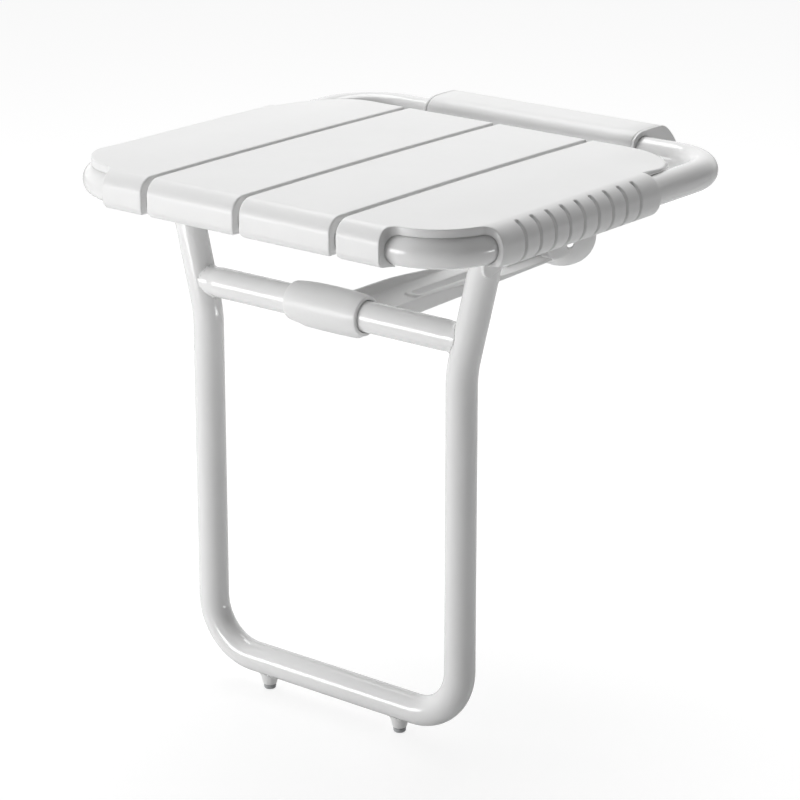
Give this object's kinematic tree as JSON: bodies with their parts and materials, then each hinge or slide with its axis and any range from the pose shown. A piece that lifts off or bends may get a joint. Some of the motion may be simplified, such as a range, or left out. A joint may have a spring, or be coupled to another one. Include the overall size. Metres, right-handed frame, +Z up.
{
  "type": "wall-mounted folding shower seat",
  "caption": "Slatted white shower seat that folds up against the wall, with a drop-down U-shaped tube leg tied by a strut to a round wall base.",
  "frame": {"origin": "middle of the back face of the hinge wall plate, on the wall plane", "axes": "+Y into the wall, +Z up, +X to the right for somebody who faces the wall; the seat reaches out along -Y"},
  "size_m": [0.4338, 0.4555, 0.4775],
  "materials": {
    "white_coating": "glossy white coating on round steel tube",
    "white_plastic": "moulded white plastic with a soft sheen",
    "grey_plastic": "matt light grey plastic",
    "steel": "plain stainless steel",
    "foot_rubber": "matt grey rubber"
  },
  "bodies": {
    "wall_mounting": {"hinge_wall_plate": "steel", "housing_cover": "white_plastic", "housing_end_cap_right": "white_plastic", "housing_end_cap_left": "white_plastic", "hinge_saddle_right": "grey_plastic", "hinge_saddle_left": "grey_plastic", "hinge_wall_screw_1": "steel", "hinge_wall_screw_2": "steel", "hinge_wall_screw_3": "steel", "hinge_wall_screw_4": "steel", "strut_wall_base": "white_plastic", "strut_pivot_pin": "steel", "strut_base_screw_left": "steel", "strut_base_screw_right": "steel"},
    "seat": {"seat_frame_tube": "white_coating", "frame_joint_dowel": "steel", "slat_rail": "white_coating", "leg_lug_right": "white_coating", "leg_lug_left": "white_coating", "leg_pivot_pin_right": "steel", "leg_pivot_pin_left": "steel", "leg_pivot_washer_right": "grey_plastic", "leg_pivot_washer_left": "grey_plastic", "slat_1": "white_plastic", "slat_2": "white_plastic", "slat_3": "white_plastic", "slat_4": "white_plastic", "slat_screw_1_right": "steel", "slat_screw_1_left": "steel", "slat_screw_2_right": "steel", "slat_screw_2_left": "steel", "slat_screw_3_right": "steel", "slat_screw_3_left": "steel", "slat_screw_4_right": "steel", "slat_screw_4_left": "steel"},
    "leg": {"leg_tube": "white_coating", "leg_crossbar": "white_coating", "leg_knuckle_right": "grey_plastic", "leg_knuckle_left": "grey_plastic", "foot_boss_right": "white_plastic", "foot_boss_left": "white_plastic", "foot_tip_right": "foot_rubber", "foot_tip_left": "foot_rubber"},
    "strut": {"strut_arm": "white_plastic"}
  },
  "joints": [
    {"name": "seat_fold", "type": "hinge", "parent": "wall_mounting", "child": "seat", "pos_m": [0, -0.057, 0.027], "axis": [-1, 0, 0], "range_deg": [0, 84]},
    {"name": "leg_fold", "type": "hinge", "parent": "seat", "child": "leg", "pos_m": [0, -0.34, 0.027], "axis": [-1, 0, 0], "range_deg": [-84, 0]},
    {"name": "strut_fold", "type": "hinge", "parent": "wall_mounting", "child": "strut", "pos_m": [0, -0.057, -0.07], "axis": [-1, 0, 0], "range_deg": [0, 84]}
  ],
  "couplings": [
    {"joint": "leg_fold", "follows": "seat_fold", "ratio": -1},
    {"joint": "strut_fold", "follows": "seat_fold", "ratio": 1}
  ]
}
